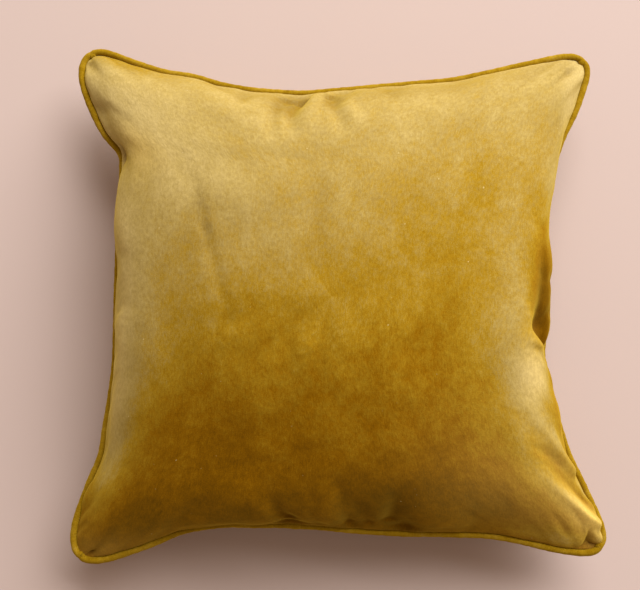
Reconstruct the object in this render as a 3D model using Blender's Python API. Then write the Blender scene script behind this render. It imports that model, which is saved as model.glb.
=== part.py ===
"""Square velvet scatter cushion with a piped edge, lying on its back.

Two sewn panels and their filling are one plump solid, drawn in between its four corners. A covered cord
is sewn round the seam. All sizes are in metres, +Z is up, and the surface that it lies on is at Z 0.
"""

import math
from collections import namedtuple

import bmesh
import bpy
import numpy as np

# Both panels
FRONT_CROWN = 0.062  # the front panel's highest point over the level of the seam
BACK_CROWN = 0.094  # how far the back panel would hang under that level if nothing held it up
ROUNDING = 0.037  # how much of a half side is rounded off each corner
FLATNESS = 2.2  # 2 is a round dome, and more is a flatter one
SIDE_FULLNESS = 0.38  # less is a steeper wall along the left and right seams
END_FULLNESS = 0.44  # the same along the bottom and top seams
CORNER_FULLNESS = 0.50  # the same where two seams meet
CORNER_ONSET = 3  # more keeps that to the corners
LEAN_LOW = 0.9  # less brings the widest place of a wall down towards its seam
FLOOR_EASE = 0.006  # height over which the underside turns from belly into flat base
PANEL_HALF = 0.225  # half the width of a panel, laid flat
SEAM_STRIP = 0.018  # width beside the seam over which every fold dies out
STRIP_EASE = 3  # more lets a fold die out further from the seam

# The covered cord in the seam
PIPING_RADIUS = 0.003
SEAM_GAP = 0.0004  # between the cord and the panels

# Finish: colour, roughness and sheen
Velvet = namedtuple("Velvet", "colour roughness sheen")
PANEL_VELVET = Velvet((0.42, 0.22, 0.012), 0.85, 0.6)
PIPING_VELVET = Velvet((0.36, 0.19, 0.010), 0.85, 0.6)

# How finely the shapes are divided
CELLS = 52  # across a panel
PIPING_SIDES = 8

# Where the seams of two sides would cross, before rounding: place, and height over the floor
Corner = namedtuple("Corner", "x y height")
BOTTOM_LEFT = Corner(-0.2240, -0.2230, 0.044)
BOTTOM_RIGHT = Corner(0.2235, -0.2140, 0.047)
TOP_RIGHT = Corner(0.2200, 0.2132, 0.048)
TOP_LEFT = Corner(-0.2240, 0.2222, 0.045)

# A side runs from its first corner to its second. At each section, a share of the way along, the seam is drawn
# in by so much, lies so high over the floor, and the panels above and below bulge out over it by so much.
Side = namedtuple("Side", "first second inward sections")
Section = namedtuple("Section", "share draw_in height bulge")
BOTTOM = Side(
    BOTTOM_LEFT,
    BOTTOM_RIGHT,
    (0, 1),
    (
        Section(0.080, 0.0105, 0.048, 0.003),
        Section(0.140, 0.0195, 0.051, 0.006),
        Section(0.200, 0.0305, 0.055, 0.009),
        Section(0.260, 0.0355, 0.058, 0.011),
        Section(0.350, 0.0355, 0.060, 0.010),
        Section(0.430, 0.0340, 0.060, 0.006),
        Section(0.520, 0.0295, 0.059, 0.001),
        Section(0.610, 0.0260, 0.058, 0.000),
        Section(0.700, 0.0245, 0.057, 0.000),
        Section(0.780, 0.0220, 0.055, 0.000),
        Section(0.900, 0.0095, 0.051, 0.000),
    ),
)
RIGHT = Side(
    BOTTOM_RIGHT,
    TOP_RIGHT,
    (-1, 0),
    (
        Section(0.065, 0.0130, 0.050, 0.000),
        Section(0.125, 0.0250, 0.053, 0.000),
        Section(0.190, 0.0380, 0.056, 0.005),
        Section(0.250, 0.0465, 0.059, 0.009),
        Section(0.310, 0.0540, 0.062, 0.011),
        Section(0.370, 0.0590, 0.064, 0.012),
        Section(0.450, 0.0565, 0.064, 0.014),
        Section(0.550, 0.0545, 0.063, 0.013),
        Section(0.650, 0.0525, 0.062, 0.012),
        Section(0.720, 0.0480, 0.061, 0.014),
        Section(0.820, 0.0350, 0.056, 0.012),
        Section(0.880, 0.0215, 0.053, 0.003),
        Section(0.940, 0.0110, 0.051, 0.000),
    ),
)
TOP = Side(
    TOP_LEFT,
    TOP_RIGHT,
    (0, -1),
    (
        Section(0.095, 0.0195, 0.050, 0.004),
        Section(0.160, 0.0290, 0.053, 0.004),
        Section(0.220, 0.0340, 0.056, 0.003),
        Section(0.280, 0.0420, 0.059, 0.003),
        Section(0.350, 0.0465, 0.061, 0.003),
        Section(0.430, 0.0480, 0.062, 0.003),
        Section(0.520, 0.0440, 0.062, 0.003),
        Section(0.620, 0.0385, 0.060, 0.003),
        Section(0.740, 0.0310, 0.057, 0.003),
        Section(0.800, 0.0240, 0.055, 0.004),
        Section(0.920, 0.0095, 0.051, 0.004),
    ),
)
LEFT = Side(
    BOTTOM_LEFT,
    TOP_LEFT,
    (1, 0),
    (
        Section(0.085, 0.0075, 0.047, 0.000),
        Section(0.145, 0.0175, 0.050, 0.000),
        Section(0.200, 0.0280, 0.054, 0.000),
        Section(0.260, 0.0325, 0.057, 0.003),
        Section(0.350, 0.0385, 0.060, 0.006),
        Section(0.500, 0.0400, 0.062, 0.008),
        Section(0.650, 0.0410, 0.062, 0.011),
        Section(0.740, 0.0425, 0.061, 0.012),
        Section(0.780, 0.0405, 0.059, 0.010),
        Section(0.820, 0.0255, 0.056, 0.002),
        Section(0.860, 0.0155, 0.053, 0.000),
        Section(0.920, 0.0045, 0.050, 0.000),
    ),
)

# Folds, on a panel laid flat with its middle at 0, 0: where the fold is deepest, where it has died out, the
# distance from its line to half its depth, and how far it stands out, or in where that is negative
Fold = namedtuple("Fold", "from_x from_y to_x to_y width depth")
FRONT_FOLDS = (
    # gathers at the middle of the top seam
    Fold(-0.040, 0.212, -0.043, 0.120, 0.007, -0.0032),
    Fold(-0.018, 0.212, -0.011, 0.122, 0.007, -0.0030),
    Fold(0.004, 0.212, 0.012, 0.130, 0.007, -0.0018),
    # a long soft crease across the upper left
    Fold(-0.102, 0.085, -0.062, -0.026, 0.009, -0.0018),
    # the pinch and the dent of the top left corner
    Fold(-0.206, 0.083, -0.142, 0.073, 0.010, -0.0050),
    Fold(-0.200, 0.176, -0.156, 0.134, 0.009, -0.0030),
    # the dimple of the top right corner
    Fold(0.168, 0.166, 0.147, 0.118, 0.009, -0.0040),
    # a pocket in the right side, closed below by a tuck over a full lobe
    Fold(0.188, -0.030, 0.166, 0.034, 0.014, -0.0075),
    Fold(0.200, -0.044, 0.150, -0.024, 0.008, 0.0035),
    Fold(0.200, -0.066, 0.150, -0.076, 0.013, 0.0030),
    # two ridges and a pinch that run into the bottom right corner
    Fold(0.214, -0.152, 0.168, -0.090, 0.010, 0.0040),
    Fold(0.212, -0.190, 0.158, -0.115, 0.010, 0.0035),
    Fold(0.192, -0.210, 0.154, -0.180, 0.008, -0.0045),
    # pleats over the bottom seam
    Fold(-0.027, -0.206, -0.038, -0.124, 0.008, -0.0038),
    Fold(0.006, -0.206, 0.004, -0.140, 0.007, -0.0025),
    Fold(0.034, -0.206, 0.030, -0.126, 0.008, -0.0042),
    # the ridge and the dent of the bottom left corner
    Fold(-0.211, -0.124, -0.186, -0.080, 0.010, 0.0032),
    Fold(-0.184, -0.206, -0.146, -0.166, 0.008, -0.0032),
)
BACK_FOLDS = (
    # gathers along each seam, which show under the sides
    Fold(-0.030, 0.212, -0.036, 0.130, 0.009, -0.0030),
    Fold(0.034, 0.212, 0.040, 0.135, 0.009, -0.0025),
    Fold(0.206, -0.020, 0.150, -0.012, 0.011, -0.0040),
    Fold(0.206, 0.062, 0.155, 0.060, 0.011, -0.0030),
    Fold(0.012, -0.212, 0.008, -0.135, 0.009, -0.0030),
    Fold(-0.058, -0.212, -0.050, -0.140, 0.009, -0.0025),
    Fold(-0.206, 0.030, -0.150, 0.026, 0.011, -0.0035),
)


def smooth(share, side, column):
    """The column's value at each share of the way along a side, on one smooth curve through its sections."""
    ends = Section(0, 0, side.first.height, 0), Section(1, 0, side.second.height, 0)
    rows = [ends[0], *side.sections, ends[1]]
    at = np.array([row.share for row in rows])
    value = np.array([getattr(row, column) for row in rows])
    slope = np.gradient(value, at)
    i = np.clip(np.searchsorted(at, share) - 1, 0, len(at) - 2)
    step = at[i + 1] - at[i]
    t = (share - at[i]) / step
    start = (1 + 2 * t) * (1 - t) ** 2 * value[i] + t * (1 - t) ** 2 * step * slope[i]
    end = t * t * (3 - 2 * t) * value[i + 1] - t * t * (1 - t) * step * slope[i + 1]
    return start + end


def seam(share, side):
    """Points of one side's seam, as an array of X, Y and Z."""
    draw_in = smooth(share, side, "draw_in")
    x = side.first.x + (side.second.x - side.first.x) * share + side.inward[0] * draw_in
    y = side.first.y + (side.second.y - side.first.y) * share + side.inward[1] * draw_in
    return np.stack([x, y, smooth(share, side, "height")], axis=-1)


def seam_surface(u, v):
    """The level between the panels, from -1 to 1 each way: a patch stretched between the four seams."""
    across, along = (1 + u) / 2, (1 + v) / 2
    s, t = across[..., None], along[..., None]
    between_ends = (1 - t) * seam(across, BOTTOM) + t * seam(across, TOP)
    between_sides = (1 - s) * seam(along, LEFT) + s * seam(along, RIGHT)
    lower = (1 - s) * np.array(BOTTOM_LEFT) + s * np.array(BOTTOM_RIGHT)
    upper = (1 - s) * np.array(TOP_LEFT) + s * np.array(TOP_RIGHT)
    return between_ends + between_sides - (1 - t) * lower - t * upper


def rise(edge, other, fullness):
    """How much of the crown is reached at this place between two opposite seams, from 0 to 1."""
    power = fullness + (CORNER_FULLNESS - fullness) * np.abs(other) ** CORNER_ONSET
    return np.clip(1 - np.abs(edge) ** FLATNESS, 0, 1) ** power


def lean(height):
    """How much of a wall's bulge is reached at this share of the crown."""
    return np.sin(math.pi * height**LEAN_LOW) ** 2


def on_floor(z):
    """The underside, turned smoothly into a flat base at Z 0."""
    eased = (z + FLOOR_EASE) ** 2 / (4 * FLOOR_EASE)
    return np.where(z > FLOOR_EASE, z, np.where(z < -FLOOR_EASE, 0.0, eased))


def plain_panel(a, b, crown):
    """A panel without its folds. a and b run from -1 to 1 over the cloth, and a negative crown is the back."""
    wide, long = np.sin(a * math.pi / 2), np.sin(b * math.pi / 2)
    power = (1 - ROUNDING) / ROUNDING
    u = wide * (1 - ROUNDING * np.abs(long) ** power)
    v = long * (1 - ROUNDING * np.abs(wide) ** power)
    points = seam_surface(u, v)
    side_rise = rise(wide, long, SIDE_FULLNESS)
    end_rise = rise(long, wide, END_FULLNESS)
    across, along = (1 + u) / 2, (1 + v) / 2
    side = np.where(a < 0, smooth(along, LEFT, "bulge"), smooth(along, RIGHT, "bulge"))
    end = np.where(b < 0, smooth(across, BOTTOM, "bulge"), smooth(across, TOP, "bulge"))
    points[..., 0] += np.sign(a) * side * lean(side_rise) * end_rise
    points[..., 1] += np.sign(b) * end * lean(end_rise) * side_rise
    points[..., 2] += crown * side_rise * end_rise
    return points


def fold_depth(a, b, folds):
    """How far the folds push a panel out at this place on the cloth."""
    x, y = a * PANEL_HALF, b * PANEL_HALF
    total = np.zeros_like(x)
    for fold in folds:
        run_x, run_y = fold.to_x - fold.from_x, fold.to_y - fold.from_y
        length = math.hypot(run_x, run_y)
        t = np.clip(((x - fold.from_x) * run_x + (y - fold.from_y) * run_y) / length**2, 0, 1)
        off = np.hypot(x - fold.from_x - t * run_x, y - fold.from_y - t * run_y)
        total += fold.depth * (1 - t) * np.exp(-math.log(2) * (off / fold.width) ** 2)
    from_seam = (1 - np.maximum(np.abs(a), np.abs(b))) * PANEL_HALF
    return total * np.clip(from_seam / SEAM_STRIP, 0, 1) ** STRIP_EASE


def panel(crown, folds):
    """The panel's points on its whole grid, with its folds."""
    line = np.linspace(-1, 1, CELLS + 1)
    a, b = np.meshgrid(line, line, indexing="ij")
    step = 1 / CELLS
    near = [np.clip(side, -1, 1) for side in (a - step, a + step, b - step, b + step)]
    across = plain_panel(near[1], b, crown) - plain_panel(near[0], b, crown)
    along = plain_panel(a, near[3], crown) - plain_panel(a, near[2], crown)
    normal = np.cross(across, along) * math.copysign(1, crown)
    normal /= np.linalg.norm(normal, axis=-1, keepdims=True)
    points = plain_panel(a, b, crown) + normal * fold_depth(a, b, folds)[..., None]
    points[..., 2] = on_floor(points[..., 2])
    return points


def rim():
    """The grid places of the seam, once round, anticlockwise from the bottom left corner."""
    last = CELLS
    places = [(i, 0) for i in range(last)] + [(last, j) for j in range(last)]
    return places + [(i, last) for i in range(last, 0, -1)] + [(0, j) for j in range(last, 0, -1)]


def outward(points):
    """Level unit vectors that point out of a closed anticlockwise line of points."""
    run = np.roll(points, -1, axis=0) - np.roll(points, 1, axis=0)
    out = np.stack([run[:, 1], -run[:, 0], np.zeros(len(run))], axis=-1)
    return out / np.linalg.norm(out, axis=1, keepdims=True)


def mesh_object(name, mesh, material):
    bpy.context.scene.collection.objects.link(bpy.data.objects.new(name, mesh))
    mesh.materials.append(material)
    mesh.shade_smooth()


def material_of(name, velvet):
    material = bpy.data.materials.new(name)
    material.use_nodes = True
    shader = material.node_tree.nodes["Principled BSDF"]
    shader.inputs["Base Color"].default_value = (*velvet.colour, 1)
    shader.inputs["Roughness"].default_value = velvet.roughness
    shader.inputs["Metallic"].default_value = 0.0
    shader.inputs["Sheen Weight"].default_value = velvet.sheen
    material.diffuse_color = (*velvet.colour, 1)
    return material


def make_cushion(front, back, material):
    """The two panels as one closed solid that shares its points along the seam."""
    shape = bmesh.new()
    on_rim = set(rim())
    top, under = {}, {}
    for i in range(CELLS + 1):
        for j in range(CELLS + 1):
            top[i, j] = shape.verts.new(front[i, j])
            under[i, j] = top[i, j] if (i, j) in on_rim else shape.verts.new(back[i, j])
    for i in range(CELLS):
        for j in range(CELLS):
            corners = [(i, j), (i + 1, j), (i + 1, j + 1), (i, j + 1)]
            shape.faces.new([top[at] for at in corners])
            shape.faces.new([under[at] for at in reversed(corners)])
    mesh = bpy.data.meshes.new("cushion")
    bmesh.ops.triangulate(shape, faces=shape.faces[:])
    shape.to_mesh(mesh)
    shape.free()
    mesh_object("cushion", mesh, material)


def make_piping(centre_line, material):
    """The covered cord: a closed tube along the seam."""
    shape = bmesh.new()
    out = outward(centre_line)
    run = np.roll(centre_line, -1, axis=0) - np.roll(centre_line, 1, axis=0)
    up = np.cross(out, run)
    up /= np.linalg.norm(up, axis=1, keepdims=True)
    up *= np.sign(up[:, 2:])
    rings = []
    for centre, out_way, up_way in zip(centre_line, out, up):
        ring = []
        for side in range(PIPING_SIDES):
            turn = 2 * math.pi * side / PIPING_SIDES
            offset = math.cos(turn) * out_way + math.sin(turn) * up_way
            ring.append(shape.verts.new(centre + PIPING_RADIUS * offset))
        rings.append(ring)
    for ring, following in zip(rings, rings[1:] + rings[:1]):
        for side in range(PIPING_SIDES):
            after = (side + 1) % PIPING_SIDES
            shape.faces.new([ring[side], following[side], following[after], ring[after]])
    mesh = bpy.data.meshes.new("piping")
    bmesh.ops.recalc_face_normals(shape, faces=shape.faces[:])
    shape.to_mesh(mesh)
    shape.free()
    mesh_object("piping", mesh, material)


def main():
    for old in list(bpy.data.objects):
        bpy.data.objects.remove(old)
    front = panel(FRONT_CROWN, FRONT_FOLDS)
    back = panel(-BACK_CROWN, BACK_FOLDS)
    seam_line = np.array([front[place] for place in rim()])
    centre_line = seam_line + outward(seam_line) * (PIPING_RADIUS + SEAM_GAP)
    middle = (centre_line.min(axis=0) + centre_line.max(axis=0)) / 2
    middle[2] = 0
    make_cushion(front - middle, back - middle, material_of("velvet", PANEL_VELVET))
    make_piping(centre_line - middle, material_of("piping_velvet", PIPING_VELVET))


main()
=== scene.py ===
"""Looks of the square velvet cushion: its cover, filled by a cloth simulation, and its piping."""

import math
from collections import namedtuple

import bpy
import numpy as np
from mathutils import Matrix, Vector


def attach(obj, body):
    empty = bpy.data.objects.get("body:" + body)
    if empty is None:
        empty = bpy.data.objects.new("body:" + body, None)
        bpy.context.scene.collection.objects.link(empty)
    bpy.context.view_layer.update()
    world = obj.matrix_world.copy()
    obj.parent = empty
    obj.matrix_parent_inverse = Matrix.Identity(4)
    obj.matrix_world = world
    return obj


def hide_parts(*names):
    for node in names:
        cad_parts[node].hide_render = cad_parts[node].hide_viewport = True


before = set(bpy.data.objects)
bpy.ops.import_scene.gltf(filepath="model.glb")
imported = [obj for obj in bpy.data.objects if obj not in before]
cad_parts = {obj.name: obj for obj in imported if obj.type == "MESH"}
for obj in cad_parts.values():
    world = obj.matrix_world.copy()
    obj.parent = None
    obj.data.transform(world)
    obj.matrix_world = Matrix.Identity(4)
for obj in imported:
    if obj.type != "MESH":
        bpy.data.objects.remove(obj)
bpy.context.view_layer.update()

# Both panels
FRONT_CROWN = 0.062  # the front panel's highest point over the level of the seam
BACK_CROWN = 0.094  # how far the back panel would hang under that level if nothing held it up
ROUNDING = 0.037  # how much of a half side is rounded off each corner
FLATNESS = 2.2  # 2 is a round dome, and more is a flatter one
SIDE_FULLNESS = 0.38  # less is a steeper wall along the left and right seams
END_FULLNESS = 0.44  # the same along the bottom and top seams
CORNER_FULLNESS = 0.50  # the same where two seams meet
CORNER_ONSET = 3  # more keeps that to the corners
LEAN_LOW = 0.9  # less brings the widest place of a wall down towards its seam
FLOOR_EASE = 0.006  # height over which the underside turns from belly into flat base
PANEL_HALF = 0.225  # half the width of a panel, laid flat
SEAM_STRIP = 0.018  # width beside the seam over which every fold dies out
STRIP_EASE = 3  # more lets a fold die out further from the seam

# The covered cord in the seam
PIPING_RADIUS = 0.003
SEAM_GAP = 0.0004  # between the cord and the panels

# Where the seams of two sides would cross, before rounding: place, and height over the floor
Corner = namedtuple("Corner", "x y height")
BOTTOM_LEFT = Corner(-0.2240, -0.2230, 0.044)
BOTTOM_RIGHT = Corner(0.2235, -0.2140, 0.047)
TOP_RIGHT = Corner(0.2200, 0.2132, 0.048)
TOP_LEFT = Corner(-0.2240, 0.2222, 0.045)

# A side runs from its first corner to its second. At each section, a share of the way along, the
# seam is drawn in by so much, lies so high over the floor, and the panels bulge out over it by so
# much.
Side = namedtuple("Side", "first second inward sections")
Section = namedtuple("Section", "share draw_in height bulge")
BOTTOM = Side(
    BOTTOM_LEFT,
    BOTTOM_RIGHT,
    (0, 1),
    (
        Section(0.080, 0.0105, 0.048, 0.003),
        Section(0.140, 0.0195, 0.051, 0.006),
        Section(0.200, 0.0305, 0.055, 0.009),
        Section(0.260, 0.0355, 0.058, 0.011),
        Section(0.350, 0.0355, 0.060, 0.010),
        Section(0.430, 0.0340, 0.060, 0.006),
        Section(0.520, 0.0295, 0.059, 0.001),
        Section(0.610, 0.0260, 0.058, 0.000),
        Section(0.700, 0.0245, 0.057, 0.000),
        Section(0.780, 0.0220, 0.055, 0.000),
        Section(0.900, 0.0095, 0.051, 0.000),
    ),
)
RIGHT = Side(
    BOTTOM_RIGHT,
    TOP_RIGHT,
    (-1, 0),
    (
        Section(0.065, 0.0130, 0.050, 0.000),
        Section(0.125, 0.0250, 0.053, 0.000),
        Section(0.190, 0.0380, 0.056, 0.005),
        Section(0.250, 0.0465, 0.059, 0.009),
        Section(0.310, 0.0540, 0.062, 0.011),
        Section(0.370, 0.0590, 0.064, 0.012),
        Section(0.450, 0.0565, 0.064, 0.014),
        Section(0.550, 0.0545, 0.063, 0.013),
        Section(0.650, 0.0525, 0.062, 0.012),
        Section(0.720, 0.0480, 0.061, 0.014),
        Section(0.820, 0.0350, 0.056, 0.012),
        Section(0.880, 0.0215, 0.053, 0.003),
        Section(0.940, 0.0110, 0.051, 0.000),
    ),
)
TOP = Side(
    TOP_LEFT,
    TOP_RIGHT,
    (0, -1),
    (
        Section(0.095, 0.0195, 0.050, 0.004),
        Section(0.160, 0.0290, 0.053, 0.004),
        Section(0.220, 0.0340, 0.056, 0.003),
        Section(0.280, 0.0420, 0.059, 0.003),
        Section(0.350, 0.0465, 0.061, 0.003),
        Section(0.430, 0.0480, 0.062, 0.003),
        Section(0.520, 0.0440, 0.062, 0.003),
        Section(0.620, 0.0385, 0.060, 0.003),
        Section(0.740, 0.0310, 0.057, 0.003),
        Section(0.800, 0.0240, 0.055, 0.004),
        Section(0.920, 0.0095, 0.051, 0.004),
    ),
)
LEFT = Side(
    BOTTOM_LEFT,
    TOP_LEFT,
    (1, 0),
    (
        Section(0.085, 0.0075, 0.047, 0.000),
        Section(0.145, 0.0175, 0.050, 0.000),
        Section(0.200, 0.0280, 0.054, 0.000),
        Section(0.260, 0.0325, 0.057, 0.003),
        Section(0.350, 0.0385, 0.060, 0.006),
        Section(0.500, 0.0400, 0.062, 0.008),
        Section(0.650, 0.0410, 0.062, 0.011),
        Section(0.740, 0.0425, 0.061, 0.012),
        Section(0.780, 0.0405, 0.059, 0.010),
        Section(0.820, 0.0255, 0.056, 0.002),
        Section(0.860, 0.0155, 0.053, 0.000),
        Section(0.920, 0.0045, 0.050, 0.000),
    ),
)

# Folds, on a panel laid flat with its middle at 0, 0: where the fold is deepest, where it has died
# out, the distance from its line to half its depth, and how far it stands out, or in where that is
# negative
Fold = namedtuple("Fold", "from_x from_y to_x to_y width depth")
FRONT_FOLDS = (
    # gathers at the middle of the top seam
    Fold(-0.028, 0.212, -0.036, 0.120, 0.007, -0.0018),
    Fold(-0.018, 0.212, -0.024, 0.122, 0.007, -0.0028),
    Fold(0.004, 0.212, 0.012, 0.130, 0.007, -0.0018),
    # a long soft crease across the upper left
    Fold(-0.102, 0.085, -0.062, -0.026, 0.009, -0.0018),
    # the pinch and the dent of the top left corner
    Fold(-0.206, 0.083, -0.142, 0.073, 0.010, -0.0050),
    Fold(-0.200, 0.176, -0.156, 0.134, 0.009, -0.0030),
    # the dimple of the top right corner
    Fold(0.168, 0.166, 0.147, 0.118, 0.009, -0.0040),
    # a pocket in the right side, closed below by a tuck over a full lobe
    Fold(0.188, -0.030, 0.166, 0.034, 0.014, -0.0075),
    Fold(0.200, -0.044, 0.150, -0.024, 0.008, 0.0035),
    Fold(0.200, -0.066, 0.150, -0.076, 0.013, 0.0030),
    # two ridges and a pinch that run into the bottom right corner
    Fold(0.214, -0.152, 0.168, -0.090, 0.010, 0.0040),
    Fold(0.212, -0.190, 0.158, -0.115, 0.010, 0.0035),
    Fold(0.192, -0.210, 0.154, -0.180, 0.008, -0.0045),
    # pleats over the bottom seam
    Fold(-0.027, -0.206, -0.038, -0.124, 0.008, -0.0038),
    Fold(0.006, -0.206, 0.004, -0.140, 0.007, -0.0025),
    Fold(0.034, -0.206, 0.030, -0.126, 0.008, -0.0042),
    # the ridge and the dent of the bottom left corner
    Fold(-0.211, -0.124, -0.186, -0.080, 0.010, 0.0032),
    Fold(-0.184, -0.206, -0.146, -0.166, 0.008, -0.0032),
)
BACK_FOLDS = (
    # gathers along each seam, which show under the sides
    Fold(-0.030, 0.212, -0.036, 0.130, 0.009, -0.0030),
    Fold(0.034, 0.212, 0.040, 0.135, 0.009, -0.0025),
    Fold(0.206, -0.020, 0.150, -0.012, 0.011, -0.0040),
    Fold(0.206, 0.062, 0.155, 0.060, 0.011, -0.0030),
    Fold(0.012, -0.212, 0.008, -0.135, 0.009, -0.0030),
    Fold(-0.058, -0.212, -0.050, -0.140, 0.009, -0.0025),
    Fold(-0.206, 0.030, -0.150, 0.026, 0.011, -0.0035),
)

# How finely the cover and the piping are divided. A panel's cells are narrower in bands that run
# from seam to seam, and the back's cells are twice as wide as the front's
COVER_CELLS = 138  # across the front panel, before it is subdivided once
WAY_STEPS = 8000  # in which the way over the dome is added up
NORMAL_STEP = 0.001  # of a half panel, to each side of a place where a direction is taken
Band = namedtuple("Band", "middle reach gain")
BANDS = {
    "side": (Band(-0.225, 0.035, 1.0), Band(-0.014, 0.030, 0.9), Band(0.185, 0.045, 1.4)),
    "end": (
        Band(-0.225, 0.030, 1.0),
        Band(-0.130, 0.060, 0.8),
        Band(-0.027, 0.022, 1.2),
        Band(0.225, 0.040, 1.0),
    ),
}
RINGS = 900
RING_SIDES = 16
RING_SMOOTHINGS = 3

# The dome of a plain panel from seam to seam, which gives the way over the cloth
DOME_HEIGHT = 0.0775
DOME_REACH = {"side": (0.178, SIDE_FULLNESS), "end": (0.181, END_FULLNESS)}

# The simulation
FRAMES = 20
QUALITY = 5
PRESSURE = 20
STRETCH = 60
SHEAR = 20
BEND = 0.05
VERTEX_MASS = 0.1
MOST_EASE = 0.035  # how much longer the cloth is than the space it has, where it puckers most
LEAST_EASE = 0.004
LUMPS = 0.0006  # unevenness of the filling, which starts the puckers
LUMP_SIZE = 0.020
SWELLING = 0.035  # anything wider than this in the simulated movement is swelling, which isn't kept
MOST_MOVED = 0.006
LEAST_MOVED = 1e-9  # anything less counts as this, so that nothing is divided by 0
BACK_SHARE = 0.6
SEED = 11

# Where the sewing leaves most loose cloth: place on the flat panel, how far that reaches, and its
# share of the most
Slack = namedtuple("Slack", "x y reach_x reach_y share")
SLACKS = (
    Slack(-0.018, 0.200, 0.045, 0.060, 1.0),
    Slack(0.010, -0.195, 0.080, 0.050, 0.25),
    Slack(0.190, -0.035, 0.050, 0.060, 0.8),
    Slack(0.190, -0.160, 0.050, 0.050, 0.7),
    Slack(-0.200, 0.085, 0.045, 0.040, 0.4),
    Slack(-0.195, -0.170, 0.040, 0.040, 0.4),
    Slack(-0.205, -0.040, 0.030, 0.070, 0.3),
    Slack(-0.080, 0.030, 0.040, 0.080, 0.2),
)

# Gathers at the middle of the top seam, which keep their depth further than a fold does
GATHER_FADE = 0.5
GATHERS = (
    Fold(-0.0275, 0.190, -0.0360, 0.110, 0.0034, -0.0052),
    Fold(-0.0190, 0.194, -0.0250, 0.114, 0.0032, -0.0070),
    Fold(-0.0125, 0.190, -0.0150, 0.118, 0.0034, 0.0026),
    Fold(-0.0050, 0.190, 0.0055, 0.114, 0.0034, -0.0058),
    Fold(0.0020, 0.190, 0.0130, 0.120, 0.0034, 0.0016),
)

# Folds too narrow for the plain solid, and tucks, where the cloth on one side stands over the other
SHARP_FOLDS = (
    # the long crease across the upper left, and the brushed ridge beside it
    Fold(-0.084, 0.036, -0.106, 0.090, 0.0027, -0.0014),
    Fold(-0.084, 0.036, -0.054, -0.052, 0.0027, -0.0013),
    Fold(-0.077, 0.036, -0.098, 0.090, 0.0044, 0.0010),
    # the pinch of the top left corner
    Fold(-0.206, 0.086, -0.150, 0.076, 0.0050, -0.0020),
    # the hollow that the tuck in the right side closes
    Fold(0.162, -0.014, 0.158, 0.048, 0.0085, -0.0048),
    # ridges of the bottom right corner, the hollow between them, and its pinch
    Fold(0.196, -0.108, 0.128, -0.062, 0.0058, 0.0060),
    Fold(0.198, -0.134, 0.140, -0.098, 0.0050, -0.0034),
    Fold(0.203, -0.162, 0.130, -0.106, 0.0062, 0.0070),
    Fold(0.214, -0.146, 0.196, -0.104, 0.0038, 0.0018),
    Fold(0.166, -0.208, 0.176, -0.160, 0.0030, -0.0020),
    # pleats over the bottom seam
    Fold(-0.026, -0.180, -0.042, -0.112, 0.0028, -0.0030),
    Fold(-0.035, -0.184, -0.050, -0.114, 0.0042, 0.0016),
    Fold(0.004, -0.200, 0.002, -0.138, 0.0026, -0.0017),
    Fold(0.015, -0.200, 0.012, -0.142, 0.0026, -0.0015),
    Fold(0.026, -0.190, 0.035, -0.114, 0.0026, -0.0034),
    # the bottom left corner
    Fold(-0.218, -0.132, -0.189, -0.081, 0.0050, 0.0018),
    Fold(-0.190, -0.216, -0.146, -0.166, 0.0045, -0.0022),
)
Tuck = namedtuple("Tuck", "from_x from_y to_x to_y over under depth")
TUCK_ENDS = 0.6  # less makes them end more suddenly
TUCK_RISE = 0.4  # how much of a tuck's depth the upper side, on the left of its run, stands out
TUCK_EDGE = 0.0012  # width of the step between its sides
TUCKS = (
    # the lobe that stands over the hollow in the right side
    Tuck(0.188, -0.035, 0.146, -0.020, 0.012, 0.016, 0.0075),
    # the pinch beside the bottom right corner
    Tuck(0.167, -0.212, 0.178, -0.160, 0.008, 0.012, 0.0030),
)

# Beside the seam
TUCK_IN = 0.0014  # how far the cover's edge goes into the piping
VISUAL_STRIP = 0.010  # width over which the sharp folds die out
PUCKER_STRIP = 0.018  # the same for what the simulation moves
LIP = 0.0017  # how far the panels puff out over the piping
LIP_HEIGHT = 0.012  # how high over the seam that ends
LIP_ONSET = 0.75  # less brings its widest place down towards the seam
SEAM_BAND = 0.006  # width of the stitched gathers, and of the darkening beside the seam
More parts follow.
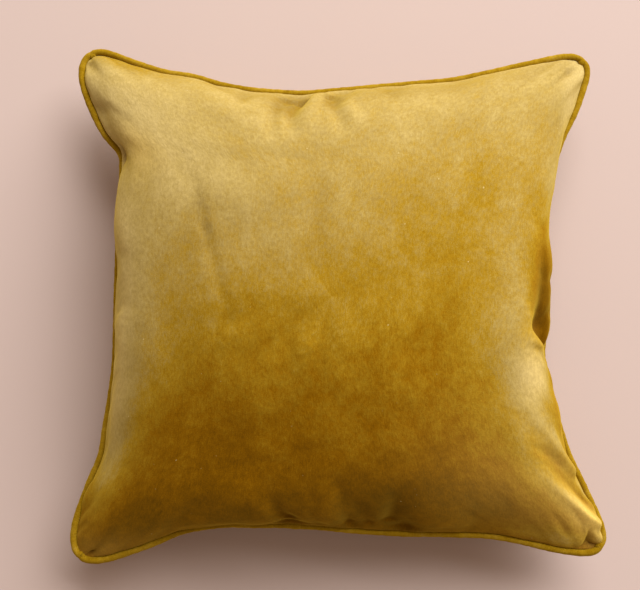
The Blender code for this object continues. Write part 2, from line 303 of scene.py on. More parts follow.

# How the pile lies, with painted light and shade: brushed up, it is pale, and brushed down, deep.
# It changes from the bottom seam to the top one, which paints the top paler and the bottom darker
# as the light from the top falls, and in patches, most of them painted light, sheen and shade:
# place on the flat panel, how far that reaches, turn in degrees, and lift
NAP_LOW = -0.120  # where it lies at 0
NAP_HIGH = 0.135  # where it lies at 1
PAINTED_LIGHT_ON_FOLDS = 28  # its lift on a fold, for each metre that the fold stands out: painted light on ridges, painted shade in dips
HOLLOW_DEPTH = 0.005  # a hollow this deep gets the full share of painted shade
HOLLOW_SHADE_SHARE = 0.40
Patch = namedtuple("Patch", "x y reach_x reach_y turn lift")
NAP_AND_PAINTED_LIGHT_PATCHES = (
    # the left side and the upper left, paler as painted sheen and light
    Patch(-0.184, -0.030, 0.034, 0.082, 0, 2.00),
    Patch(-0.162, 0.022, 0.026, 0.036, 0, 0.50),
    Patch(-0.205, 0.110, 0.030, 0.060, 0, 0.60),
    Patch(-0.145, 0.118, 0.050, 0.036, 0, 0.80),
    Patch(-0.110, 0.075, 0.040, 0.032, 0, 0.35),
    Patch(-0.060, 0.045, 0.045, 0.040, 0, 0.22),
    # the top
    Patch(-0.160, 0.205, 0.060, 0.026, 0, -0.72),
    Patch(0.000, 0.200, 0.130, 0.030, 0, -0.22),
    Patch(0.000, 0.055, 0.060, 0.045, 0, 0.12),
    # the lower left, with painted shade and painted light
    Patch(-0.125, -0.010, 0.040, 0.070, 0, 0.20),
    Patch(-0.094, -0.087, 0.050, 0.030, 0, -0.20),
    Patch(-0.100, -0.140, 0.060, 0.030, 0, -0.25),
    Patch(-0.150, -0.196, 0.060, 0.020, 0, 0.30),
    # the middle, darker as painted shade
    Patch(0.050, -0.035, 0.030, 0.030, 0, -0.15),
    Patch(0.055, -0.130, 0.050, 0.034, 0, -0.26),
    Patch(0.100, 0.062, 0.060, 0.045, 0, -0.12),
    # the right side: painted light, painted shadow in its hollow, painted highlight on its lobe
    Patch(0.195, 0.150, 0.030, 0.070, 0, 0.60),
    Patch(0.176, 0.062, 0.014, 0.024, 0, 0.50),
    Patch(0.158, 0.004, 0.014, 0.036, 0, -0.60),
    Patch(0.190, 0.010, 0.026, 0.040, 0, -0.60),
    Patch(0.128, -0.050, 0.024, 0.085, 0, 0.40),
    Patch(0.152, -0.046, 0.022, 0.014, 0, 1.60),
    # the bottom right corner, with painted highlights on its ridges
    Patch(0.163, -0.082, 0.034, 0.009, -31, 0.70),
    Patch(0.208, -0.124, 0.022, 0.007, -68, 0.80),
    Patch(0.175, -0.120, 0.034, 0.026, -35, 0.30),
    Patch(0.172, -0.138, 0.044, 0.010, -37, 0.80),
    Patch(0.200, -0.178, 0.022, 0.022, 0, 0.80),
    Patch(0.140, -0.192, 0.060, 0.026, 0, 0.85),
)

# Painted highlights, where the brushed pile would throw the light back most, and how much of the
# painted highlight colour each adds
PAINTED_HIGHLIGHTS = (
    Patch(0.180, -0.152, 0.030, 0.017, -40, 0.68),
    Patch(0.156, -0.134, 0.030, 0.008, -37, 0.28),
    Patch(0.168, -0.096, 0.040, 0.008, -31, 0.22),
    Patch(0.150, -0.038, 0.018, 0.024, 0, 0.20),
    Patch(0.120, -0.135, 0.060, 0.055, 0, 0.15),
    Patch(-0.170, -0.195, 0.050, 0.028, 0, 0.15),
    Patch(-0.150, 0.090, 0.024, 0.016, 0, 0.36),
    Patch(0.150, -0.185, 0.050, 0.030, 0, 0.08),
    Patch(0.200, -0.190, 0.030, 0.030, 0, 0.25),
)

# The piping's unevenness: each wave's share of the radius, its length and where it starts
Wave = namedtuple("Wave", "share length start")
PIPING_WAVES = (
    Wave(0.030, 0.0113, 0.1),
    Wave(0.025, 0.0068, 0.6),
    Wave(0.030, 0.0410, 0.3),
)
PIPING_LAP_X = -0.034  # where its ends lap, in the bottom seam
PIPING_LAP_LENGTH = 0.006
PIPING_LAP_SWELL = 0.16

CORD_NAP = 0.35  # how the pile of the piping lies, drawn tight

# Unevenness of the pile, from broad to fine: how often it repeats for each metre across and along
# the cloth, its detail and roughness, how much it lifts the pile, and how high it stands
Layer = namedtuple("Layer", "across along detail roughness lift relief")
PATCHINESS = Layer(24, 18, 4, 0.60, 0.29, 0.0012)
MOTTLE = Layer(120, 95, 4, 0.65, 0.36, 0.0003)
GRAIN = Layer(900, 220, 2, 0.60, 0.23, 0.00008)
FUZZ = Layer(1500, 1500, 2, 0.60, 0.45, 0.00006)
FLECKS = Layer(420, 300, 2, 0.60, 0, 0)
LINT = Layer(420, 330, 0, 0.50, 0, 0)
END_GATHERS = Layer(260, 25, 1, 0.50, 0, 0.0016)
SIDE_GATHERS = Layer(25, 260, 1, 0.50, 0, 0.0016)
APART = 9  # takes the two panels to different places in the unevenness
USUAL = (0.3, 0.7)  # between which most of an unevenness lies

# The lie at which each colour starts to show, and at which it shows alone
Step = namedtuple("Step", "colour start full")
COLOUR_STEPS = (
    Step("deep", -0.6, 0.0),
    Step("middle", 0.0, 0.5),
    Step("pale", 0.5, 1.0),
    Step("open", 1.0, 1.9),
)

# Marks on the pile: the unevenness at which they start and are strongest, and their share of the
# colour
Mark = namedtuple("Mark", "start full share")
CRUSHED = Mark(0.58, 0.42, 0.13)
CRUSHED_MOTTLE = Mark(0.35, 0.65, 1.0)
FLECK_MARKS = Mark(0.65, 0.35, 0.20)
LINT_MARKS = Mark(0.87, 0.90, 0.6)
SEAM_SHADE_SHARE = 0.35  # of the deep colour at the seam: its pressed pile, and painted shade in its crease
PILE_ROUGHNESS = (0.66, 0.54)  # from the deepest mottle to the palest

# Colours of the pile, linear: painted shade in hollows, also for crushed pile and flecks, in four
# steps from brushed down to brushed up, the palest also painted light and sheen, a painted
# highlight, and of the specks on it. Then its gloss and sheen
Finish = namedtuple(
    "Finish", "shade deep middle pale open lit lint gloss sheen sheen_roughness sheen_tint"
)
COVER_VELVET = Finish(
    shade=(0.08, 0.030, 0.0001),
    deep=(0.240, 0.100, 0.0002),
    middle=(0.355, 0.212, 0.011),
    pale=(0.41, 0.300, 0.090),
    open=(0.58, 0.455, 0.190),
    lit=(0.88, 0.62, 0.16),
    lint=(0.62, 0.50, 0.24),
    gloss=0.0,
    sheen=0.48,
    sheen_roughness=0.50,
    sheen_tint=(1.0, 0.74, 0.09),
)
CORD_VELVET = COVER_VELVET._replace(
    deep=(0.21, 0.112, 0.0004),
    middle=(0.38, 0.235, 0.012),
    sheen=0.3,
)

# Surroundings
FLOOR_HALF = 3.0
FLOOR_COLOUR = (0.56, 0.45, 0.42)
FLOOR_ROUGHNESS = 0.8
FLOOR_GLOSS = 0.2
Lamp = namedtuple("Lamp", "azimuth elevation distance width height power colour")
WINDOW = Lamp(60, 34, 4.5, 5.0, 4.2, 470, (1.0, 0.98, 0.95))
ROOM_COLOUR = (1.0, 0.74, 0.54)
ROOM_STRENGTH = 0.37

# The camera: nearly straight above, as in the photograph
CAMERA_TARGET = (-0.0137, 0.0039, 0.05)
CAMERA_ELEVATION = 84.4
CAMERA_DISTANCE = 0.80
LENS = 52.94
SENSOR = 36.0


def smooth(share, side, column):
    """The column's value at each share of the way along a side, on a curve through its sections."""
    first = Section(0, 0, side.first.height, 0)
    last = Section(1, 0, side.second.height, 0)
    rows = [first, *side.sections, last]
    at = np.array([row.share for row in rows])
    value = np.array([getattr(row, column) for row in rows])
    slope = np.gradient(value, at)
    i = np.clip(np.searchsorted(at, share) - 1, 0, len(at) - 2)
    step = at[i + 1] - at[i]
    t = (share - at[i]) / step
    start = (1 + 2 * t) * (1 - t) ** 2 * value[i] + t * (1 - t) ** 2 * step * slope[i]
    end = t * t * (3 - 2 * t) * value[i + 1] - t * t * (1 - t) * step * slope[i + 1]
    return start + end


def seam(share, side):
    """Points of one side's seam, as an array of X, Y and Z."""
    draw_in = smooth(share, side, "draw_in")
    x = side.first.x + (side.second.x - side.first.x) * share + side.inward[0] * draw_in
    y = side.first.y + (side.second.y - side.first.y) * share + side.inward[1] * draw_in
    return np.stack([x, y, smooth(share, side, "height")], axis=-1)


def seam_surface(u, v):
    """The level between the panels, from -1 to 1 each way, stretched between the four seams."""
    across, along = (1 + u) / 2, (1 + v) / 2
    s, t = across[..., None], along[..., None]
    between_ends = (1 - t) * seam(across, BOTTOM) + t * seam(across, TOP)
    between_sides = (1 - s) * seam(along, LEFT) + s * seam(along, RIGHT)
    lower = (1 - s) * np.array(BOTTOM_LEFT) + s * np.array(BOTTOM_RIGHT)
    upper = (1 - s) * np.array(TOP_LEFT) + s * np.array(TOP_RIGHT)
    return between_ends + between_sides - (1 - t) * lower - t * upper


def rise(edge, other, fullness):
    """How much of the crown is reached at this place between two opposite seams, from 0 to 1."""
    power = fullness + (CORNER_FULLNESS - fullness) * np.abs(other) ** CORNER_ONSET
    return np.clip(1 - np.abs(edge) ** FLATNESS, 0, 1) ** power


def lean(height):
    """How much of a wall's bulge is reached at this share of the crown."""
    return np.sin(math.pi * height**LEAN_LOW) ** 2


def on_floor(z):
    """The underside, turned smoothly into a flat base at Z 0."""
    eased = (z + FLOOR_EASE) ** 2 / (4 * FLOOR_EASE)
    return np.where(z > FLOOR_EASE, z, np.where(z < -FLOOR_EASE, 0.0, eased))


def plain_panel(a, b, crown):
    """A panel without its folds. a and b run from -1 to 1, and a negative crown is the back."""
    wide, long = np.sin(a * math.pi / 2), np.sin(b * math.pi / 2)
    power = (1 - ROUNDING) / ROUNDING
    u = wide * (1 - ROUNDING * np.abs(long) ** power)
    v = long * (1 - ROUNDING * np.abs(wide) ** power)
    points = seam_surface(u, v)
    side_rise = rise(wide, long, SIDE_FULLNESS)
    end_rise = rise(long, wide, END_FULLNESS)
    across, along = (1 + u) / 2, (1 + v) / 2
    side = np.where(a < 0, smooth(along, LEFT, "bulge"), smooth(along, RIGHT, "bulge"))
    end = np.where(b < 0, smooth(across, BOTTOM, "bulge"), smooth(across, TOP, "bulge"))
    points[..., 0] += np.sign(a) * side * lean(side_rise) * end_rise
    points[..., 1] += np.sign(b) * end * lean(end_rise) * side_rise
    points[..., 2] += crown * side_rise * end_rise
    return points


def run_of(fold, x, y):
    """How far along a fold's line each place lies, as a share of it, and how far to its left."""
    run_x, run_y = fold.to_x - fold.from_x, fold.to_y - fold.from_y
    length = math.hypot(run_x, run_y)
    along = ((x - fold.from_x) * run_x + (y - fold.from_y) * run_y) / length**2
    return along, ((y - fold.from_y) * run_x - (x - fold.from_x) * run_y) / length


def fold_depth(a, b, folds, fade=1):
    """How far the folds push a panel out at this place. Less fade keeps their depth further."""
    x, y = a * PANEL_HALF, b * PANEL_HALF
    total = np.zeros_like(x)
    for fold in folds:
        along, left = run_of(fold, x, y)
        t = np.clip(along, 0, 1)
        past = (along - t) * math.hypot(fold.to_x - fold.from_x, fold.to_y - fold.from_y)
        across = np.exp(-math.log(2) * (np.hypot(left, past) / fold.width) ** 2)
        total += fold.depth * (1 - t) ** fade * across
    return total


def beside_seam(a, b, width):
    """0 at the seam and 1 from that width on."""
    return np.clip((1 - np.maximum(np.abs(a), np.abs(b))) * PANEL_HALF / width, 0, 1)


def wide_depth(a, b, folds):
    """The same for wide folds, which die out beside the seam as in the plain solid."""
    return fold_depth(a, b, folds) * beside_seam(a, b, SEAM_STRIP) ** STRIP_EASE


def outward(points):
    """Level unit vectors that point out of a closed anticlockwise line of points."""
    run = np.roll(points, -1, axis=0) - np.roll(points, 1, axis=0)
    out = np.stack([run[:, 1], -run[:, 0], np.zeros(len(run))], axis=-1)
    return out / np.linalg.norm(out, axis=1, keepdims=True)


def lines(kind):
    """Where the lines between the cells lie, and how far over the cloth, both from -1 to 1."""
    reach, fullness = DOME_REACH[kind]
    place = np.linspace(-1, 1, WAY_STEPS + 1)
    level = np.sin(place * math.pi / 2)
    step = np.hypot(np.diff(level * reach), np.diff(DOME_HEIGHT * rise(level, 0 * level, fullness)))
    middle = (place[1:] + place[:-1]) / 2 * PANEL_HALF
    finer = 1 + sum(
        band.gain * np.exp(-(((middle - band.middle) / band.reach) ** 2)) for band in BANDS[kind]
    )
    over = np.concatenate([[0], np.cumsum(step)])
    count = np.concatenate([[0], np.cumsum(step * finer)])
    at = np.linspace(0, count[-1], COVER_CELLS + 1)
    return np.interp(at, count, place), np.interp(at, count, 2 * over / over[-1] - 1)


def fine_panel(a, b, crown, folds):
    """A panel's points on the fine grid, with its folds, and the directions out of it."""
    left, right = np.clip(a - NORMAL_STEP, -1, 1), np.clip(a + NORMAL_STEP, -1, 1)
    below, above = np.clip(b - NORMAL_STEP, -1, 1), np.clip(b + NORMAL_STEP, -1, 1)
    across = plain_panel(right, b, crown) - plain_panel(left, b, crown)
    along = plain_panel(a, above, crown) - plain_panel(a, below, crown)
    normal = np.cross(across, along) * math.copysign(1, crown)
    normal /= np.linalg.norm(normal, axis=-1, keepdims=True)
    return plain_panel(a, b, crown) + normal * wide_depth(a, b, folds)[..., None], normal


def blurred(field, width):
    """The field, evened out over that width on the cloth. It is mirrored at its edges."""
    size = len(field)
    cell = 2 * PANEL_HALF / (size - 1)
    reach = int(3 * width / cell)
    weight = np.exp(-0.5 * (np.arange(-reach, reach + 1) * cell / width) ** 2)
    weight /= weight.sum()
    at = np.abs(np.arange(-reach, size + reach))
    at = np.where(at >= size, 2 * size - 2 - at, at)
    out = field
    for axis in (0, 1):
        wide = np.take(out, at, axis=axis)
        parts = [np.take(wide, np.arange(n, n + size), axis=axis) * w for n, w in enumerate(weight)]
        out = sum(parts)
    return out


# Once round a wide cell of the back. A side that lies on the seam has a point in its middle
RING_PLACES = ((0, 0), (0, 1), (0, 2), (1, 2), (2, 2), (2, 1), (2, 0), (1, 0))


def edge_places(last):
    """Grid places once round a panel, anticlockwise from the bottom left corner."""
    places = [(i, 0) for i in range(last)] + [(last, j) for j in range(last)]
    return places + [(i, last) for i in range(last, 0, -1)] + [(0, j) for j in range(last, 0, -1)]


def joined(front, back):
    """The values of the front's points, then of the back's: every other line, without its edge."""
    parts = (front, back[2:-2:2, 2:-2:2])
    return np.concatenate([part.reshape(-1, *part.shape[2:]) for part in parts])


def cloth_object(name, front, back):
    """Both panels as one closed mesh with shared points along the seam, and the points' numbers."""
    size = COVER_CELLS + 1
    top = np.arange(size * size).reshape(size, size)
    inner = np.arange((size // 2 - 1) ** 2).reshape(size // 2 - 1, size // 2 - 1)
    under = np.full((size, size), -1)
    under[2:-2:2, 2:-2:2] = size * size + inner
    for edge in ((0, slice(None)), (-1, slice(None)), (slice(None), 0), (slice(None), -1)):
        under[edge] = top[edge]
    cells = np.stack([top[:-1, :-1], top[1:, :-1], top[1:, 1:], top[:-1, 1:]], axis=-1)
    faces = cells.reshape(-1, 4).tolist()
    for i in range(0, COVER_CELLS, 2):
        for j in range(0, COVER_CELLS, 2):
            corner = under[i : i + 3, j : j + 3]
            ring = [corner[place] for place in RING_PLACES]
            faces.append([int(number) for number in ring if number >= 0])
    mesh = bpy.data.meshes.new(name)
    mesh.from_pydata(joined(front, back).tolist(), [], faces)
    mesh.shade_smooth()
    piece = bpy.data.objects.new(name, mesh)
    bpy.context.scene.collection.objects.link(piece)
    return piece, top, under[::2, ::2]


def places_of(piece):
    """The points of a piece as its modifiers leave them."""
    shown = piece.evaluated_get(bpy.context.evaluated_depsgraph_get())
    mesh = shown.to_mesh()
    flat = np.empty(len(mesh.vertices) * 3, np.float32)
    mesh.vertices.foreach_get("co", flat)
    shown.to_mesh_clear()
    return flat.reshape(-1, 3).astype(float)


def fill_with_air(piece, seam_points, slack):
    """Runs the cloth simulation on a piece whose seam is held. Returns where its points settle."""
    held = piece.vertex_groups.new(name="held")
    held.add([int(n) for n in seam_points], 1.0, "REPLACE")
    plain = piece.vertex_groups.new(name="plain")
    for n, share in enumerate(slack):
        plain.add([n], 1 - float(share), "REPLACE")
    cloth = piece.modifiers.new("cloth", "CLOTH")
    settings = cloth.settings
    settings.quality = QUALITY
    settings.mass = VERTEX_MASS
    settings.tension_stiffness = STRETCH
    settings.compression_stiffness = STRETCH
    settings.shear_stiffness = SHEAR
    settings.bending_stiffness = BEND
    settings.use_pressure = True
    settings.uniform_pressure_force = PRESSURE
    settings.vertex_group_mass = "held"
    settings.vertex_group_shrink = "plain"
    settings.shrink_min = -MOST_EASE
    settings.shrink_max = -LEAST_EASE
    settings.effector_weights.gravity = 0
    cloth.collision_settings.use_collision = False
    cloth.point_cache.frame_start = 1
    cloth.point_cache.frame_end = FRAMES
    for number in range(1, FRAMES + 1):
        bpy.context.scene.frame_set(number)
    settled = places_of(piece)
    piece.modifiers.remove(cloth)
    bpy.context.scene.frame_set(1)
    return settled


def puckers(start, end):
    """The part of a panel's simulated movement that is folds, as far as the cap allows."""
    moved = end - start
    moved = moved - blurred(moved, SWELLING)
    size = np.linalg.norm(moved, axis=-1, keepdims=True)
    return moved * MOST_MOVED * np.tanh(size / MOST_MOVED) / np.maximum(size, LEAST_MOVED)


def tuck_depth(a, b):
    """How far the tucks push the front out, or in on their other side, at this place."""
    x, y = a * PANEL_HALF, b * PANEL_HALF
    total = np.zeros_like(x)
    for tuck in TUCKS:
        along, left = run_of(tuck, x, y)
        over = (1 + np.tanh(left / TUCK_EDGE)) / 2
        stands_out = TUCK_RISE * over * np.exp(-((left / tuck.over) ** 2))
        sinks = (1 - over) * np.exp(-((left / tuck.under) ** 2))
        ends = np.sin(math.pi * np.clip(along, 0, 1)) ** TUCK_ENDS
        total += tuck.depth * (stands_out - sinks) * ends
    return total


def slack_share(a, b):
    """How loose the cloth is at this place, from 0 to 1."""
    x, y = a * PANEL_HALF, b * PANEL_HALF
    share = np.zeros_like(x)
    for spot in SLACKS:
        off = ((x - spot.x) / spot.reach_x) ** 2 + ((y - spot.y) / spot.reach_y) ** 2
        share = np.maximum(share, spot.share * np.exp(-off))
    return share


def sum_of(patches, a, b):
    """How much the patches add at this place."""
    x, y = a * PANEL_HALF, b * PANEL_HALF
    total = np.zeros_like(x)
    for patch in patches:
        turn = math.radians(patch.turn)
        over = (x - patch.x) * math.cos(turn) + (y - patch.y) * math.sin(turn)
        up = (y - patch.y) * math.cos(turn) - (x - patch.x) * math.sin(turn)
        total += patch.lift * np.exp(-((over / patch.reach_x) ** 2) - (up / patch.reach_y) ** 2)
    return total


def nap_and_painted_light_of(a, b):
    """How the pile lies at this place, with painted light and shade: 1 is brushed up and pale, and
    0 is brushed down and deep.
    """
    return (b * PANEL_HALF - NAP_LOW) / (NAP_HIGH - NAP_LOW) + sum_of(NAP_AND_PAINTED_LIGHT_PATCHES, a, b)


def lip(points, out, crown, a, b):
    """The panel, puffed out over the piping beside its seam."""
    level = seam_surface(np.sin(a * math.pi / 2), np.sin(b * math.pi / 2))[..., 2]
    height = np.clip((points[..., 2] - level) * math.copysign(1, crown) / LIP_HEIGHT, 0, 1)
    level_way = out * np.array([1, 1, 0])
    return points + level_way * (LIP * np.sin(math.pi * height**LIP_ONSET))[..., None]


def filled_panels():
    """Both panels after the simulation, and what the material needs to know of each point."""
    (line_a, over_a), (line_b, over_b) = lines("side"), lines("end")
    a, b = np.meshgrid(line_a, line_b, indexing="ij")
    front, front_out = fine_panel(a, b, FRONT_CROWN, FRONT_FOLDS)
    back, back_out = fine_panel(a, b, -BACK_CROWN, BACK_FOLDS)
    fade = beside_seam(a, b, VISUAL_STRIP)
    random = np.random.default_rng(SEED)
    lumps = [blurred(random.standard_normal(a.shape), LUMP_SIZE / 2) for _ in range(2)]
    lumps = [(LUMPS * fade * field / field.std())[..., None] for field in lumps]
    lumpy_front, lumpy_back = front + front_out * lumps[0], back + back_out * lumps[1]
    trial, top, under = cloth_object("trial", lumpy_front, lumpy_back)
    seam_points = [top[place] for place in edge_places(COVER_CELLS)]
    slack = slack_share(a, b)
    settled = fill_with_air(trial, seam_points, joined(slack, slack))
    kept = beside_seam(a, b, PUCKER_STRIP)[..., None]
    front = front + puckers(front, settled[top]) * kept
    back[::2, ::2] += puckers(back[::2, ::2], settled[under]) * kept[::2, ::2] * BACK_SHARE
    bpy.data.objects.remove(trial)
    sharp = fold_depth(a, b, SHARP_FOLDS) + fold_depth(a, b, GATHERS, GATHER_FADE)
    sharp = (sharp + tuck_depth(a, b)) * fade
    front = front + front_out * sharp[..., None]
    smooth_front, _ = fine_panel(a, b, FRONT_CROWN, ())
    stands_out = ((front - smooth_front) * front_out).sum(axis=-1)
    # ridges painted paler and dips darker, as painted light and shade
    nap_and_painted_light = nap_and_painted_light_of(a, b) + PAINTED_LIGHT_ON_FOLDS * stands_out
    front = lip(front, front_out, 1, a, b)
    back = lip(back, back_out, -1, a, b)
    flat = np.meshgrid(PANEL_HALF * over_a, PANEL_HALF * over_b, indexing="ij")
    beside = [np.exp(-((((1 - np.abs(way)) * PANEL_HALF) / SEAM_BAND) ** 2)) for way in (a, b)]
    # painted shade in hollows and creases, darker the deeper they sink
    hollow_shade = HOLLOW_SHADE_SHARE * np.clip(-stands_out / HOLLOW_DEPTH, 0, 1)
    return front, back, flat, (*beside, nap_and_painted_light), (hollow_shade, sum_of(PAINTED_HIGHLIGHTS, a, b), 0 * hollow_shade)


def with_one_subdivision(piece):
    bpy.context.view_layer.objects.active = piece
    finer = piece.modifiers.new("finer", "SUBSURF")
    finer.levels = 1
    finer.render_levels = 1
    bpy.ops.object.modifier_apply(modifier=finer.name)


def keep(piece, name, values):
    """Stores three numbers for each point of a piece. Its material reads what isn't stored as 0."""
    kept = piece.data.attributes.new(name, "FLOAT_VECTOR", "POINT")
    kept.data.foreach_set("vector", np.asarray(values, np.float32).reshape(-1))


def make_piping(centre_line, material):
    """The covered cord: a slightly uneven closed tube along the seam, with its ends lapped."""
    closed = np.concatenate([centre_line, centre_line[:1]])
    run = np.concatenate([[0], np.cumsum(np.linalg.norm(np.diff(closed, axis=0), axis=1))])
    at = np.linspace(0, run[-1], RINGS, endpoint=False)
    line = np.stack([np.interp(at, run, closed[:, k]) for k in range(3)], axis=-1)
    for _ in range(RING_SMOOTHINGS):
        line = (np.roll(line, 1, axis=0) + 2 * line + np.roll(line, -1, axis=0)) / 4
    ways = np.roll(line, -1, axis=0) - np.roll(line, 1, axis=0)
    ways /= np.linalg.norm(ways, axis=1, keepdims=True)
    out = outward(line)
    up = np.cross(ways, out)
    up /= np.linalg.norm(up, axis=1, keepdims=True)
    up *= np.sign(up[:, 2:])
    uneven = sum(
        wave.share * np.sin(2 * math.pi * (at / wave.length + wave.start)) for wave in PIPING_WAVES
    )
    from_lap = (line[:, 0] - PIPING_LAP_X) / PIPING_LAP_LENGTH
    lap = PIPING_LAP_SWELL * np.exp(-(from_lap**2)) * (line[:, 1] < 0)
    radius = PIPING_RADIUS * (1 + uneven + lap)
    turn = 2 * math.pi * np.arange(RING_SIDES) / RING_SIDES
    sides = np.cos(turn)[None, :, None] * out[:, None] + np.sin(turn)[None, :, None] * up[:, None]
    points = line[:, None] + radius[:, None, None] * sides
    number = np.arange(RINGS * RING_SIDES).reshape(RINGS, RING_SIDES)
    after = np.roll(number, -1, axis=0)
    beside, beside_after = np.roll(number, -1, axis=1), np.roll(after, -1, axis=1)
    quads = np.stack([number, beside, beside_after, after], axis=-1)
    mesh = bpy.data.meshes.new("piping_cord")
    mesh.from_pydata(points.reshape(-1, 3).tolist(), [], quads.reshape(-1, 4).tolist())
    mesh.shade_smooth()
    mesh.materials.append(material)
    piece = bpy.data.objects.new("piping_cord", mesh)
    bpy.context.scene.collection.objects.link(piece)
    along, around = np.meshgrid(at, PIPING_RADIUS * turn, indexing="ij")
    keep(piece, "cloth", np.stack([along, around, 0 * along], axis=-1))
    keep(piece, "lie", np.stack([0 * along, 0 * along, 0 * along + CORD_NAP], axis=-1))
    return piece


def make_cover(material):
    """Both panels, filled, with edges tucked into the piping, and the piping's middle line."""
    front, back, flat, lie, painted_shade_and_highlight = filled_panels()
    places = edge_places(COVER_CELLS)
    seam_line = np.array([front[place] for place in places])
    out = outward(seam_line)
    centre_line = seam_line + out * (PIPING_RADIUS + SEAM_GAP)
    middle = (centre_line.min(axis=0) + centre_line.max(axis=0)) / 2
    middle[2] = 0
    for place, way in zip(places, out):
        front[place] = front[place] + way * TUCK_IN
    back[..., 2] = on_floor(back[..., 2])
    piece, _, _ = cloth_object("cover", front - middle, back - middle)
    # the third number of a place on the cloth tells the back, at 1, from the front, at 0
    for name, fields in (("cloth", (*flat, 0 * flat[0])), ("lie", lie), ("painted_shade_and_highlight", painted_shade_and_highlight)):
        over = np.stack(fields, axis=-1)
        below = over + np.array([0, 0, 1 if name == "cloth" else 0])
        keep(piece, name, joined(over, below))
    piece.data.materials.append(material)
    with_one_subdivision(piece)
    return piece, centre_line - middle


# Places of the sockets for colours on a Mix node, whose other sockets have the same names
MIX_SHARE, MIX_FIRST, MIX_SECOND, MIX_RESULT = 0, 6, 7, 2


class Nodes:
    """Adds shader nodes to a material and joins them."""

    def __init__(self, name):
        self.material = bpy.data.materials.new(name)
        self.material.use_nodes = True
        self.tree = self.material.node_tree
        self.shader = self.tree.nodes["Principled BSDF"]

    def put(self, socket, value):
        if hasattr(value, "is_output"):
            self.tree.links.new(value, socket)
        else:
            socket.default_value = value

    def three_of(self, name):
        source = self.tree.nodes.new("ShaderNodeAttribute")
        source.attribute_name = name
        apart = self.tree.nodes.new("ShaderNodeSeparateXYZ")
        self.put(apart.inputs["Vector"], source.outputs["Vector"])
        return [apart.outputs[axis] for axis in "XYZ"]

    def uneven(self, layer):
        source = self.tree.nodes.new("ShaderNodeAttribute")
        source.attribute_name = "cloth"
        mapping = self.tree.nodes.new("ShaderNodeMapping")
        mapping.vector_type = "POINT"
        self.put(mapping.inputs["Vector"], source.outputs["Vector"])
        self.put(mapping.inputs["Scale"], (layer.across, layer.along, APART))
        node = self.tree.nodes.new("ShaderNodeTexNoise")
        self.put(node.inputs["Vector"], mapping.outputs["Vector"])
        self.put(node.inputs["Scale"], 1.0)
        self.put(node.inputs["Detail"], layer.detail)
        self.put(node.inputs["Roughness"], layer.roughness)
        return node.outputs["Fac"]

    def spread(self, value, low, high, to_low=0.0, to_high=1.0):
        node = self.tree.nodes.new("ShaderNodeMapRange")
        self.put(node.inputs["Value"], value)
        ends = {"From Min": low, "From Max": high, "To Min": to_low, "To Max": to_high}
        for name, number in ends.items():
            self.put(node.inputs[name], number)
        return node.outputs["Result"]

    def marked(self, value, mark):
        return self.spread(value, mark.start, mark.full, 0.0, mark.share)

    def maths(self, operation, first, second):
        node = self.tree.nodes.new("ShaderNodeMath")
        node.operation = operation
        self.put(node.inputs[0], first)
        self.put(node.inputs[1], second)
        return node.outputs[0]

    def mixed(self, share, first, second):
        node = self.tree.nodes.new("ShaderNodeMix")
        node.data_type = "RGBA"
        self.put(node.inputs[MIX_SHARE], share)
        self.put(node.inputs[MIX_FIRST], first)
        self.put(node.inputs[MIX_SECOND], second)
        return node.outputs[MIX_RESULT]

    def bump(self, height, distance, under=None):
        node = self.tree.nodes.new("ShaderNodeBump")
        self.put(node.inputs["Height"], height)
        self.put(node.inputs["Distance"], distance)
        if under is not None:
            self.put(node.inputs["Normal"], under)
        return node.outputs["Normal"]


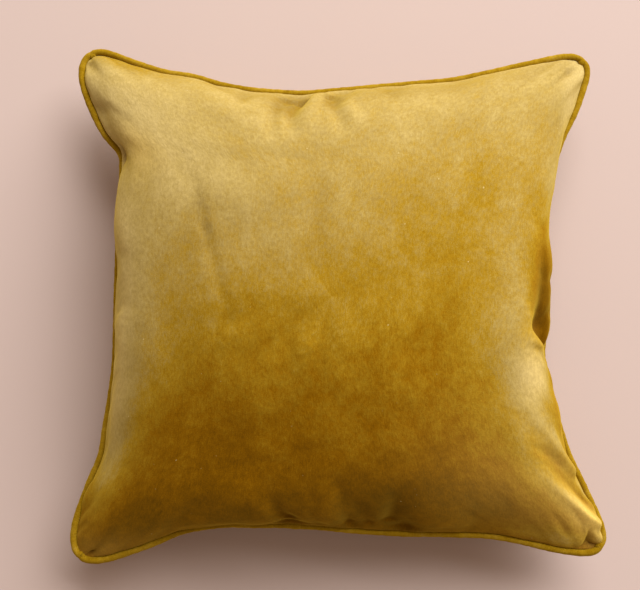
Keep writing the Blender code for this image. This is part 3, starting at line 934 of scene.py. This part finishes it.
def velvet(name, finish):
    """Short upright pile: patches brushed one way or the other, with painted light and shade,
    painted shade in hollows and at the seam, painted highlights, marks, a fine grain and fuzz.
    """
    nodes = Nodes(name)
    # the lie's third number is the nap, with its painted light and shade
    side, end, nap_and_painted_light = nodes.three_of("lie")
    hollow_shade, painted_highlight_share, _ = nodes.three_of("painted_shade_and_highlight")
    layers = (PATCHINESS, MOTTLE, GRAIN, FUZZ)
    fields = [nodes.uneven(layer) for layer in layers]
    patches, mottle, _, _ = fields
    for layer, field in zip(layers, fields):
        nap_and_painted_light = nodes.maths("ADD", nap_and_painted_light, nodes.spread(field, *USUAL, -layer.lift / 2, layer.lift / 2))
    colour = (*finish.shade, 1)
    for step in COLOUR_STEPS:
        shown = nodes.spread(nap_and_painted_light, step.start, step.full)
        colour = nodes.mixed(shown, colour, (*getattr(finish, step.colour), 1))
    crushed = nodes.marked(patches, CRUSHED)
    crushed = nodes.maths("MULTIPLY", crushed, nodes.marked(mottle, CRUSHED_MOTTLE))
    # darker at the seam: pressed pile, and painted shade in its crease
    seam = nodes.maths("MULTIPLY", nodes.maths("MAXIMUM", side, end), SEAM_SHADE_SHARE)
    marks = (
        (crushed, finish.shade),
        # painted highlights
        (painted_highlight_share, finish.lit),
        # painted shade in hollows
        (hollow_shade, finish.shade),
        (nodes.marked(nodes.uneven(FLECKS), FLECK_MARKS), finish.shade),
        (seam, finish.deep),
        (nodes.marked(nodes.uneven(LINT), LINT_MARKS), finish.lint),
    )
    for share, mark_colour in marks:
        colour = nodes.mixed(share, colour, (*mark_colour, 1))
    nodes.put(nodes.shader.inputs["Base Color"], colour)
    nodes.put(nodes.shader.inputs["Roughness"], nodes.spread(mottle, *USUAL, *PILE_ROUGHNESS))
    nodes.put(nodes.shader.inputs["Specular IOR Level"], finish.gloss)
    nodes.put(nodes.shader.inputs["Sheen Weight"], finish.sheen)
    nodes.put(nodes.shader.inputs["Sheen Roughness"], finish.sheen_roughness)
    nodes.put(nodes.shader.inputs["Sheen Tint"], (*finish.sheen_tint, 1))
    relief = None
    for layer, field in zip(layers, fields):
        relief = nodes.bump(field, layer.relief, relief)
    for layer, share in ((END_GATHERS, end), (SIDE_GATHERS, side)):
        gathers = nodes.maths("MULTIPLY", nodes.uneven(layer), share)
        relief = nodes.bump(gathers, layer.relief, relief)
    nodes.put(nodes.shader.inputs["Normal"], relief)
    return nodes.material


def floor_material():
    nodes = Nodes("floor")
    nodes.put(nodes.shader.inputs["Base Color"], (*FLOOR_COLOUR, 1))
    nodes.put(nodes.shader.inputs["Roughness"], FLOOR_ROUGHNESS)
    nodes.put(nodes.shader.inputs["Specular IOR Level"], FLOOR_GLOSS)
    return nodes.material


def make_floor():
    half = FLOOR_HALF
    mesh = bpy.data.meshes.new("floor")
    corners = [(-half, -half, 0), (half, -half, 0), (half, half, 0), (-half, half, 0)]
    mesh.from_pydata(corners, [], [(0, 1, 2, 3)])
    mesh.materials.append(floor_material())
    floor = bpy.data.objects.new("floor", mesh)
    bpy.context.scene.collection.objects.link(floor)


def make_light(name, lamp):
    data = bpy.data.lights.new(name, "AREA")
    data.shape = "RECTANGLE"
    data.size = lamp.width
    data.size_y = lamp.height
    data.energy = lamp.power
    data.color = lamp.colour
    light = bpy.data.objects.new(name, data)
    turn, lift = math.radians(lamp.azimuth), math.radians(lamp.elevation)
    way = Vector((math.cos(turn) * math.cos(lift), math.sin(turn) * math.cos(lift), math.sin(lift)))
    light.location = way * lamp.distance
    light.rotation_euler = way.to_track_quat("Z", "Y").to_euler()
    bpy.context.scene.collection.objects.link(light)


def make_surroundings():
    world = bpy.data.worlds.new("room")
    world.use_nodes = True
    background = world.node_tree.nodes["Background"]
    background.inputs["Color"].default_value = (*ROOM_COLOUR, 1)
    background.inputs["Strength"].default_value = ROOM_STRENGTH
    bpy.context.scene.world = world
    bpy.context.scene.view_settings.view_transform = "Standard"


def make_camera():
    lens = bpy.data.cameras.new("camera")
    lens.lens = LENS
    lens.sensor_width = SENSOR
    camera = bpy.data.objects.new("camera", lens)
    lift = math.radians(CAMERA_ELEVATION)
    back = Vector((0, -math.cos(lift), math.sin(lift)))
    camera.location = Vector(CAMERA_TARGET) + back * CAMERA_DISTANCE
    camera.rotation_euler = (math.radians(90) - lift, 0, 0)
    bpy.context.scene.collection.objects.link(camera)
    bpy.context.scene.camera = camera


cover, piping_line = make_cover(velvet("velvet_pile", COVER_VELVET))
cord = make_piping(piping_line, velvet("piping_pile", CORD_VELVET))
for piece, node, slot in ((cover, "cushion", "velvet"), (cord, "piping", "piping_velvet")):
    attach(piece, "root")
    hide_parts(node)
make_floor()
make_light("window", WINDOW)
make_surroundings()
make_camera()
